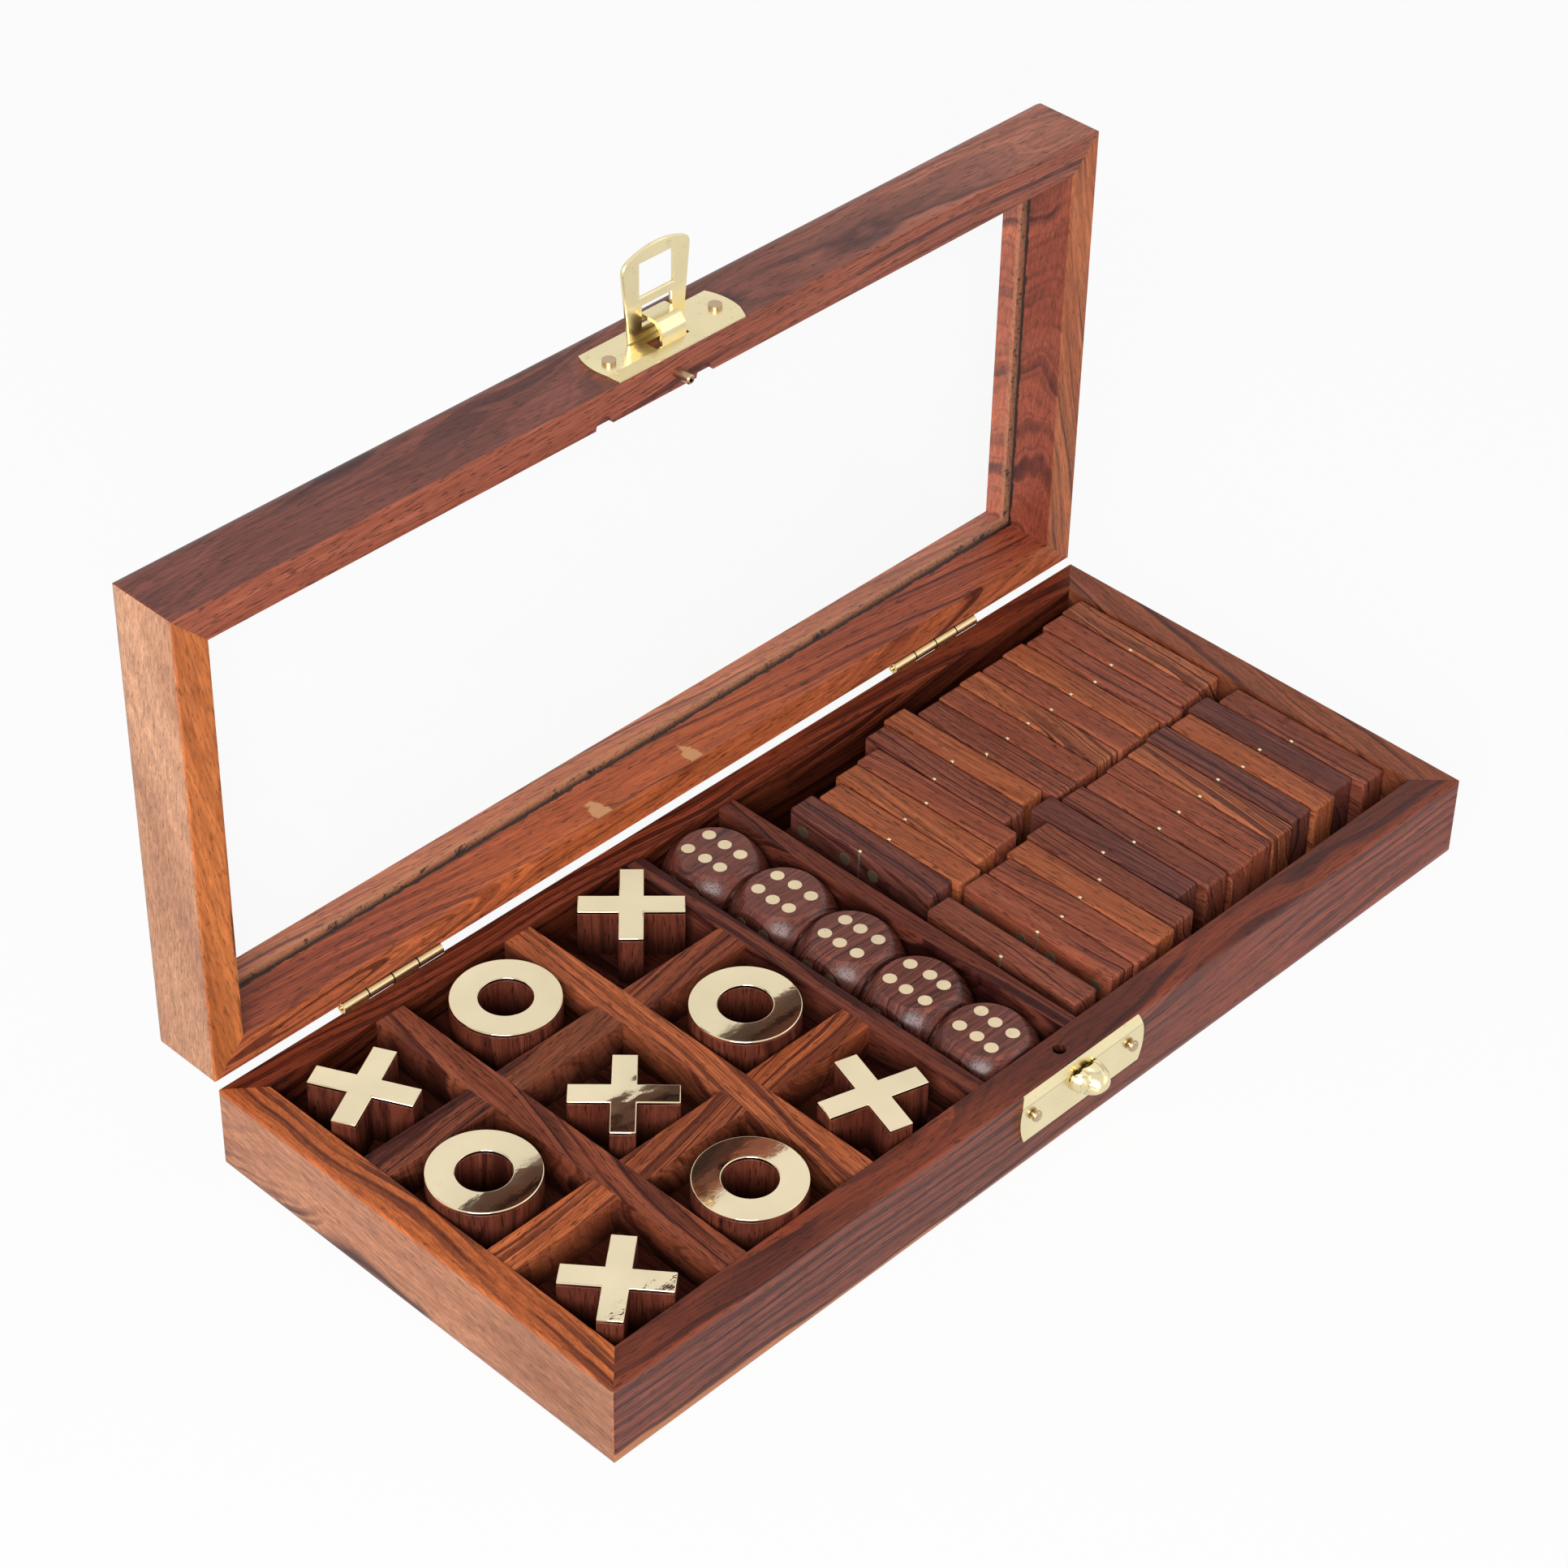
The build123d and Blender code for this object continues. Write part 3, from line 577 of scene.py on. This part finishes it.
rail_finishes = {
    "base_front_rail": wood(
        "wood_base_front",
        (0.165, 0.040, 0.022),
        "x",
        1,
        faces=[
            ((0.215, 0.044, 0.0205), {"x": (40, 200), "soft": 50}),
            ((0.192, 0.037, 0.0145), {"z": RIM}),
        ],
        veins=[(1.6, {"z": RIM})],
        # pale sapwood along the lower edge, and painted shade in the pin hole
        marks=[sap_edge, pin_hole_shade],
        streaks=1.4,
        shine=0.26,
        ring=4.0,
        pith=(-30, 60),
        lean=(0, 1.5, 2),
    ),
    "base_back_rail": wood(
        "wood_base_back",
        (0.185, 0.035, 0.0135),
        "x",
        2,
        # painted shade: the inner wall below the rim is given a darker tone, and the board darkens towards
        # the bottom
        faces=[((0.10, 0.020, 0.008), {"y": (40, 49.9), "z": (0, 21.5)})],
        marks=[painted_shade_below(6, 21, 0.45)],
        streaks=1.6,
        shine=0.12,
        ring=4.0,
        pith=(20, 50),
        lean=(0, 2, 3),
    ),
    "base_end_rails": wood(
        "wood_base_ends",
        (0.20, 0.055, 0.025),
        "y",
        3,
        faces=[
            ((0.237, 0.065, 0.028), {"z": RIM}),
            ((0.328, 0.133, 0.069), {"x": LEFT_OUTER}),
            ((0.235, 0.096, 0.048), {"x": LEFT_OUTER, "y": (-100, -30), "soft": 25}),
            ((0.425, 0.105, 0.029), {"x": LEFT_SIDE, "z": RIM}),
        ],
        veins=[
            (0.35, {"x": LEFT_OUTER}),
            (2.0, {"x": LEFT_OUTER, "y": (-5, 80), "z": (-5, 6), "soft": 3}),
            (1.9, {"x": LEFT_SIDE, "z": RIM}),
        ],
        pores=0.6,
        ring=4.0,
        pith=(30, -40),
        lean=(0, 11, 8),
    ),
    "lid_front_rail": wood(
        "wood_lid_front",
        (0.18, 0.052, 0.035),
        "x",
        4,
        faces=[
            ((0.40, 0.135, 0.081), {"x": (60, 200), "soft": 50}),
            ((0.275, 0.072, 0.037), {"y": PARTING}),
        ],
        shine=0.32,
        ring=3.6,
        pith=(50, 60),
        lean=(0, 2, 2),
        streaks=1.2,
    ),
    "lid_back_rail": wood(
        "wood_lid_back",
        (0.31, 0.068, 0.030),
        "x",
        5,
        faces=[
            ((0.55, 0.165, 0.075), {"y": BEYOND_GLASS}),
            ((0.38, 0.097, 0.037), {"y": PARTING}),
            ((0.74, 0.170, 0.036), {"y": PARTING, "x": (-60, 40), "soft": 30}),
        ],
        marks=[saw_kerf, torn_spots],
        ring=4.0,
        pith=(50, 30),
        lean=(0, 2, 4),
    ),
    "lid_end_rails": wood(
        "wood_lid_ends",
        (0.25, 0.058, 0.031),
        "z",
        6,
        faces=[
            ((0.48, 0.119, 0.056), {"y": BEYOND_GLASS}),
            ((0.38, 0.112, 0.041), {"y": PARTING}),
            ((0.415, 0.200, 0.111), {"x": LEFT_OUTER}),
            ((0.385, 0.112, 0.032), {"x": LEFT_SIDE, "y": PARTING}),
        ],
        marks=[saw_kerf],
        veins=[(0.25, {"x": LEFT_OUTER})],
        pores=0.6,
        ring=4.0,
        pith=(40, 30),
        lean=(0, 12, 5),
    ),
    "bottom_panel": wood("wood_bottom", (0.13, 0.035, 0.020), "x", 7, ring=6.0),
    # the floor's very dark tone is partly its deep red wood and partly painted shade of the deep cells
    "grid_floor": wood(
        "wood_grid_floor", (0.075, 0.017, 0.009), "y", 8, ring=6.0, pith=(10, 40), shine=0.08
    ),
    "grid_dividers": slat_wood(
        "wood_dividers",
        (0.231, 0.059, 0.028),
        faces=[((0.42, 0.112, 0.041), {"x": COLUMN_2}), *row_faces],
        rows=[{"x": cell, "y": row} for row in (ROW_1, ROW_2) for cell in CELLS],
        seed=9,
        # painted shade: the slats darken towards the bottom of the cells
        marks=[painted_shade_below(12, 21.3, 0.2)],
    ),
    "channel_walls": wood(
        "wood_channel",
        (0.155, 0.039, 0.0225),
        "y",
        10,
        # painted shade: the walls darken towards the bottom of the channel
        marks=[painted_shade_below(8, 21.2, 0.4)],
        streaks=2.0,
        ring=3.0,
        shine=0.12,
    ),
}
for node, material in rail_finishes.items():
    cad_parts[node].data.materials[0] = material

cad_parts["glass_pane"].data.materials[0] = clear_glass()
HINGE_X = 81.0  # from the middle of the box to the middle of either hinge
KNUCKLE = 6.7
KNUCKLE_GAP = 0.34
knuckle_seams = [side * HINGE_X + step * KNUCKLE for side in (-1, 1) for step in (-1, 0, 1)]
# painted shade in the gaps between the hinges' knuckles
KNUCKLE_GAP_SHADES = [
    {"x": (seam - KNUCKLE_GAP / 2, seam + KNUCKLE_GAP / 2), "soft": 0.06} for seam in knuckle_seams
]
# painted highlight along the strike plate's bent edge, and painted shade along the line where it is bent
PAINTED_BEVEL_HIGHLIGHT = {"z": (19.0, 21.6), "soft": 0.15}
PAINTED_BEND_SHADE = {"z": (18.7, 19.1), "soft": 0.1}
sheet_brass = brass(
    "brass_sheet",
    (0.80, 0.69, 0.42),
    rough=0.24,
    wave=0.02,
    scratch=0.6,
    shaded=[(1.12, PAINTED_BEVEL_HIGHLIGHT), (0.82, PAINTED_BEND_SHADE)],
)
hinge_brass = brass(
    "brass_hinge",
    (0.66, 0.50, 0.27),
    rough=0.24,
    scratch=0.8,
    tarnish=0.7,
    shaded=[(0.12, gap) for gap in KNUCKLE_GAP_SHADES],
)
nail_brass = brass("brass_nails", (0.50, 0.37, 0.24), rough=0.26, scratch=0.8, tarnish=0.9)
CAP_COLOUR = (0.80, 0.68, 0.46)
CAP_WEAR = {"rough": 0.055, "scratch": 0.04, "tarnish": 0.12}
cap_brass = brass("brass_caps", CAP_COLOUR, wave=0.010, dents=0.006, **CAP_WEAR)
buckled_cap = brass("brass_cap_buckled", CAP_COLOUR, wave=0.16, dents=0.006, **CAP_WEAR)
leaning_cap = brass("brass_cap_leaning", CAP_COLOUR, wave=0.012, dents=0.007, lean=0.036, **CAP_WEAR)
dented_cap = brass("brass_cap_dented", CAP_COLOUR, wave=0.02, dents=0.022, lean=0.132, **CAP_WEAR)
CAP_FINISHES = {"cross_3": buckled_cap, "cross_2": dented_cap, "nought_4": leaning_cap}
pip_brass = brass("brass_pips", (0.82, 0.69, 0.46), rough=0.44, scratch=0.8)
for node, material in {
    "hinge_base_halves": hinge_brass,
    "hinge_lid_halves": hinge_brass,
    "clasp_plate": sheet_brass,
    "hasp": sheet_brass,
    "strike_plate": sheet_brass,
    "lid_brass_pins": nail_brass,
}.items():
    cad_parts[node].data.materials[0] = material

# ---------------------------------------------------------------- clasp
low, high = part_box("strike_plate")
plate_front = high.y - PLATE_THICKNESS
plate_middle = high.z - (high.z - low.z) / 2
HOOD_BACK = ((0, 0, 0), (0, 1, 0))  # cuts of the ball that the hood starts as: place and outwards
HOOD_MOUTH = ((0, 0, 0.5), (-0.08, 0.62, 0.20))
LIP_START = 0.6  # how high up that ball its lip begins, of 1


def pressed_hood():
    """The keeper's nose: a hood pressed out of the plate in two lobes, torn open behind its lip."""
    hood = bmesh.new()
    bmesh.ops.create_uvsphere(hood, u_segments=64, v_segments=48, radius=1.0)
    for place, outwards in (HOOD_BACK, HOOD_MOUTH):
        bmesh.ops.bisect_plane(
            hood,
            geom=hood.verts[:] + hood.edges[:] + hood.faces[:],
            plane_co=place,
            plane_no=outwards,
            clear_outer=True,
        )
    for vert in hood.verts:
        x, y, z = vert.co
        lip = max(0, z - LIP_START) / (1 - LIP_START)
        torn = lip * (0.10 * math.sin(11 * x) + 0.07 * math.sin(23 * x + 1))
        fold = (x + 0.25 - 0.35 * z) / 0.1  # below 0 on the lobe to the left, which is beaten in
        crease = 0.16 * math.exp(-fold * fold) + 0.24 / (1 + math.exp(4 * fold))
        slump = 0.20 * max(0, -x) + 0.18 * z
        vert.co = Vector(
            (
                math.copysign(abs(x) ** 0.7, x) * HOOD_HALF.x,
                (y * (1 - crease - slump) - 0.7 * torn - 0.10 * lip) * HOOD_HALF.y,
                (math.copysign(abs(z) ** 0.85, z) + torn) * HOOD_HALF.z,
            )
        )
    bmesh.ops.recalc_face_normals(hood, faces=hood.faces)
    bmesh.ops.solidify(hood, geom=hood.faces[:], thickness=HOOD_SHEET)
    place = Vector((CLASP_X, plate_front, high.z + RIM_ABOVE_PLATE - HOOD_DROP))
    bmesh.ops.translate(hood, verts=hood.verts, vec=place)
    return hood


def domed_nails():
    """The two nails of the strike plate, turned: domed heads standing off on their shanks."""
    nails = bmesh.new()
    profile = [  # radius, and height over the plate
        (0, -NAIL_LENGTH),
        (NAIL_SHANK, -NAIL_LENGTH + NAIL_SHANK),
        (NAIL_SHANK, 0.35 * MM),
        (NAIL_HEAD, 0.5 * MM),
        (NAIL_HEAD, 0.95 * MM),
        (NAIL_HEAD * 0.85, 1.2 * MM),
        (NAIL_HEAD * 0.45, 1.3 * MM),
        (0, 1.35 * MM),
    ]
    for side in (-1, 1):
        place = Vector((CLASP_X + side * NAIL_SPACING / 2, plate_front, plate_middle))
        verts = [nails.verts.new(place + Vector((x, -y, 0))) for x, y in profile]
        edges = [nails.edges.new(pair) for pair in zip(verts, verts[1:])]
        bmesh.ops.spin(
            nails, geom=verts + edges, cent=place, axis=(0, 1, 0), angle=math.tau, steps=32, use_merge=True
        )
    bmesh.ops.remove_doubles(nails, verts=nails.verts, dist=1e-7)
    return nails


finished(pressed_hood(), "strike_plate_hood", sheet_brass, "base", crisp=50)
nails = finished(domed_nails(), "base_domed_nails", nail_brass, "base", crisp=50)
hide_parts("base_nails")

# ---------------------------------------------------------------- noughts and crosses
token_wood = wood(
    "wood_tokens",
    (0.112, 0.027, 0.0145),
    "z",
    11,
    # painted shade: the blocks darken towards the bottom of their cells
    marks=[painted_shade_below(12, 23, 0.25)],
    ring=3.0,
    gloss=0.4,
    shine=0.15,
    streaks=0.8,
)


def cross_outline(shape, level):
    """The twelve corners of a cross, as one face at a level."""
    long, short = CROSS_SPAN / 2, CROSS_ARM / 2
    quarter = [(long, -short), (long, short), (short, short)]
    corners = []
    for turn in range(4):
        spin = Matrix.Rotation(math.radians(90 * turn), 3, "Z")
        corners += [spin @ Vector((x, y, level)) for x, y in quarter]
    return shape.faces.new([shape.verts.new(corner) for corner in corners])


def cross_slab(low, high, centre, turn, edge, segments):
    """A cross between two levels, its edges rounded, turned as it lies in its cell."""
    shape = bmesh.new()
    face = cross_outline(shape, low)
    grown = bmesh.ops.extrude_face_region(shape, geom=[face])["geom"]
    raised = [vert for vert in grown if isinstance(vert, bmesh.types.BMVert)]
    bmesh.ops.translate(shape, verts=raised, vec=(0, 0, high - low))
    bmesh.ops.recalc_face_normals(shape, faces=shape.faces)
    soften(shape, shape.edges, edge, segments)
    place = Matrix.Translation(centre) @ Matrix.Rotation(math.radians(turn), 4, "Z")
    bmesh.ops.transform(shape, matrix=place, verts=shape.verts)
    return shape


def ring_slab(low, high, centre, outer, inner, edge, segments, steps=96):
    """A ring between two levels, its rims rounded."""
    shape = bmesh.new()
    profile = [(inner, low), (outer, low), (outer, high), (inner, high)]
    verts = [shape.verts.new((x, 0, z)) for x, z in profile]
    edges = [shape.edges.new((verts[k], verts[(k + 1) % 4])) for k in range(4)]
    bmesh.ops.spin(
        shape,
        geom=verts + edges,
        cent=(0, 0, 0),
        axis=(0, 0, 1),
        angle=math.tau,
        steps=steps,
        use_merge=True,
    )
    bmesh.ops.remove_doubles(shape, verts=shape.verts, dist=1e-7)
    bmesh.ops.recalc_face_normals(shape, faces=shape.faces)
    rims = [e for e in shape.edges if len(e.link_faces) == 2 and e.calc_face_angle() > 1]
    soften(shape, rims, edge, segments)
    bmesh.ops.translate(shape, verts=shape.verts, vec=centre)
    return shape


def make_token(node, slab):
    """Block and cap of one token; slab(low, high, edge, segments) makes either."""
    low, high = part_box(node)
    seam = high.z - CAP_THICKNESS
    wooden = slab(low.z, seam, BLOCK_EDGE, 1)
    block = finished(wooden, node + "_block", token_wood, node)
    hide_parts(node)
    brass_finish = CAP_FINISHES.get(node, cap_brass)
    finished(slab(seam, high.z, CAP_EDGE, 3), node + "_cap", brass_finish, node)


for number, turn in enumerate(CROSS_TURNS, 1):
    low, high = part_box(f"cross_{number}")
    centre = (low + high) / 2
    centre.z = 0
    make_token(
        f"cross_{number}",
        lambda a, b, edge, segments: cross_slab(a, b, centre, turn, edge, segments),
    )
for number in range(1, 5):
    low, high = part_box(f"nought_{number}")
    centre = (low + high) / 2
    centre.z = 0
    outer = (high.x - low.x) / 2
    make_token(
        f"nought_{number}",
        lambda a, b, edge, segments: ring_slab(a, b, centre, outer, NOUGHT_HOLE, edge, segments),
    )

# ---------------------------------------------------------------- dice
DIE_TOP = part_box("die_1")[1].z / MM
die_wood = wood(
    "wood_dice",
    (0.115, 0.032, 0.022),
    "x",
    12,
    # painted light: the tops are given a paler tone than the sides
    faces=[((0.165, 0.045, 0.029), {"z": (DIE_TOP - 0.6, DIE_TOP + 1)})],
    ring=2.0,
    gloss=0.26,
    shine=0.30,
)
DIE_FACES = [  # outwards, side, end, pips
    ((0, 0, 1), (1, 0, 0), (0, 1, 0), 6),
    ((0, 0, -1), (1, 0, 0), (0, 1, 0), 1),
    ((-1, 0, 0), (0, 1, 0), (0, 0, 1), 5),
    ((1, 0, 0), (0, 1, 0), (0, 0, 1), 2),
    ((0, -1, 0), (1, 0, 0), (0, 0, 1), 4),
    ((0, 1, 0), (1, 0, 0), (0, 0, 1), 3),
]
random.seed(6)
for number in range(1, 6):
    node = f"die_{number}"
    low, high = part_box(node)
    centre, half = (low + high) / 2, (high.x - low.x) / 2
    cube = bmesh.new()
    bmesh.ops.create_icosphere(cube, subdivisions=5, radius=DIE_BALL)
    pips = bmesh.new()
    for outwards, side, end, count in DIE_FACES:
        outwards, side, end = Vector(outwards), Vector(side), Vector(end)
        cut = bmesh.ops.bisect_plane(
            cube,
            geom=cube.verts[:] + cube.edges[:] + cube.faces[:],
            plane_co=outwards * half,
            plane_no=outwards,
            clear_outer=True,
        )
        rim = [edge for edge in cut["geom_cut"] if isinstance(edge, bmesh.types.BMEdge)]
        flat = bmesh.ops.contextual_create(cube, geom=rim)["faces"]
        bmesh.ops.inset_region(cube, faces=flat, thickness=DIE_RIM)
        place = centre + outwards * half
        steps = side * DIE_PIP_SIDE, end * DIE_PIP_END
        add_pips(pips, count, place, outwards, *steps, loose=DIE_PIP_LOOSE)
    bmesh.ops.translate(cube, verts=cube.verts, vec=centre)
    body = finished(cube, node + "_cube", die_wood, node, crisp=25)
    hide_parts(node)
    finished(pips, node + "_pips", pip_brass, node)

# ---------------------------------------------------------------- dominoes
random.seed(28)
domino_counts = [(low, high) for low, high in product(range(7), repeat=2) if low <= high]
random.shuffle(domino_counts)
SHOWN_PLACE = 13  # the left end of the back row, whose pips show
shown_now = domino_counts.index((2, 4))
domino_counts[shown_now], domino_counts[SHOWN_PLACE] = domino_counts[SHOWN_PLACE], (2, 4)
DOMINO_TONES = {  # tone and streaks of each sort of board the tiles were cut from
    "russet": ((0.285, 0.076, 0.039), 1.0),
    "orange": ((0.35, 0.096, 0.038), 0.8),
    "amber": ((0.36, 0.108, 0.046), 1.6),
    "brown": ((0.21, 0.058, 0.032), 1.0),
    "plum": ((0.145, 0.044, 0.031), 1.1),
}
DOMINO_SORTS = (  # by number, from right to left: the back row and then the front one
    "amber russet russet orange russet amber russet brown orange brown russet orange orange plum "
    "brown plum orange plum amber russet russet brown plum brown orange russet russet brown"
).split()
domino_woods = {
    sort: [
        wood(
            f"wood_domino_{sort}_{k}",
            tone,
            "y",
            seed + 5 * k,
            ring=random.uniform(1.1, 2.0),
            pith=(random.uniform(50, 140), random.uniform(-60, 60)),
            lean=(0, random.uniform(-5, 5), random.uniform(-6, 6)),
            streaks=streaks,
            shine=0.15,
        )
        for k in range(3)
    ]
    for seed, (sort, (tone, streaks)) in enumerate(DOMINO_TONES.items(), 20)
}
for number, (front, back) in enumerate(domino_counts, 1):
    node = f"domino_{number:02d}"
    low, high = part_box(node)
    tile = finished(
        rounded_box(low, high, DOMINO_ROUND),
        node + "_tile",
        random.choice(domino_woods[DOMINO_SORTS[number - 1]]),
        node,
    )
    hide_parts(node)
    middle = (low + high) / 2
    face = Vector((low.x, middle.y, middle.z))
    inlay = rounded_box(
        Vector((low.x - PIP_PROUD, middle.y - DOMINO_LINE_WIDTH / 2, low.z - PIP_PROUD)),
        Vector((low.x + DOMINO_LINE_DEPTH, middle.y + DOMINO_LINE_WIDTH / 2, high.z + PIP_PROUD)),
        DOMINO_LINE_EDGE,
        1,
    )
    quarter = Vector((0, (high.y - low.y) / 4, 0))
    for count, centre in ((front, face - quarter), (back, face + quarter)):
        add_pips(
            inlay,
            count,
            centre,
            Vector((-1, 0, 0)),
            Vector((0, 0, DOMINO_PIP_SIDE)),
            Vector((0, DOMINO_PIP_END, 0)),
        )
    finished(inlay, node + "_inlay", pip_brass, node)

# ---------------------------------------------------------------- stage
FLOOR_SIZE = 6.0
PAPER_GLOW = 0.93  # how much of the floor is plain white where it shows, the rest takes shadows
AMBIENT = 0.34
BACKGROUND = 1.0
WHITE = (1, 1, 1)
floor_shape = bmesh.new()
bmesh.ops.create_grid(floor_shape, x_segments=1, y_segments=1, size=FLOOR_SIZE)
floor_mesh = bpy.data.meshes.new("floor")
floor_shape.to_mesh(floor_mesh)
floor_shape.free()
floor = bpy.data.objects.new("floor", floor_mesh)
bpy.context.scene.collection.objects.link(floor)

paper = Finish("white_paper")
paper.set(Base_Color=(0.80, 0.80, 0.80), Roughness=0.9, Specular_IOR_Level=0.0)
glow = paper.node("Emission", sockets={"Color": WHITE, "Strength": BACKGROUND})
lit = Wire(paper, paper.surface.outputs[0])
share = paper.shows_background() * PAPER_GLOW
seen = paper.node("MixShader", sockets={0: share, 1: lit, 2: glow})
paper.feed(paper.tree.nodes["Material Output"].inputs["Surface"], seen)
floor_mesh.materials.append(paper.material)

world = bpy.data.worlds.new("studio")
bpy.context.scene.world = world
world.use_nodes = True
sky = Nodes(world.node_tree)
ambient = sky.node("Background", sockets={"Color": WHITE, "Strength": AMBIENT})
white = sky.node("Background", sockets={"Color": WHITE, "Strength": BACKGROUND})
seen = sky.node("MixShader", sockets={0: sky.shows_background(), 1: ambient, 2: white})
sky.feed(sky.tree.nodes["World Output"].inputs["Surface"], seen)


def soft_lamp(name, place, aim, size, watts):
    """A square white softbox at a place, facing an aim."""
    light = bpy.data.lights.new(name, "AREA")
    light.size = size
    light.energy = watts
    lamp = bpy.data.objects.new(name, light)
    lamp.location = place
    lamp.rotation_euler = (Vector(aim) - Vector(place)).to_track_quat("-Z", "Y").to_euler()
    bpy.context.scene.collection.objects.link(lamp)


BOX_MIDDLE = (0, 0, 0.05)
soft_lamp("key", (-0.90, -0.62, 0.60), BOX_MIDDLE, 0.7, 17.5)
soft_lamp("fill", (0.8, -0.9, 0.6), BOX_MIDDLE, 0.8, 1.5)

# ---------------------------------------------------------------- camera
CAMERA_PLACE = (-0.47681, -0.42989, 0.57447)
CAMERA_TURN = (51.2366, -0.9422, -45.5747)  # degrees
SENSOR, LENS = 36, 94.0  # millimetres
camera_data = bpy.data.cameras.new("camera")
camera_data.sensor_width = SENSOR
camera_data.lens = LENS
camera_data.clip_start, camera_data.clip_end = 0.01, 50
camera = bpy.data.objects.new("camera", camera_data)
camera.location = CAMERA_PLACE
camera.rotation_euler = Euler([math.radians(angle) for angle in CAMERA_TURN])
bpy.context.scene.collection.objects.link(camera)
bpy.context.scene.camera = camera
bpy.context.scene.view_settings.view_transform = "Standard"
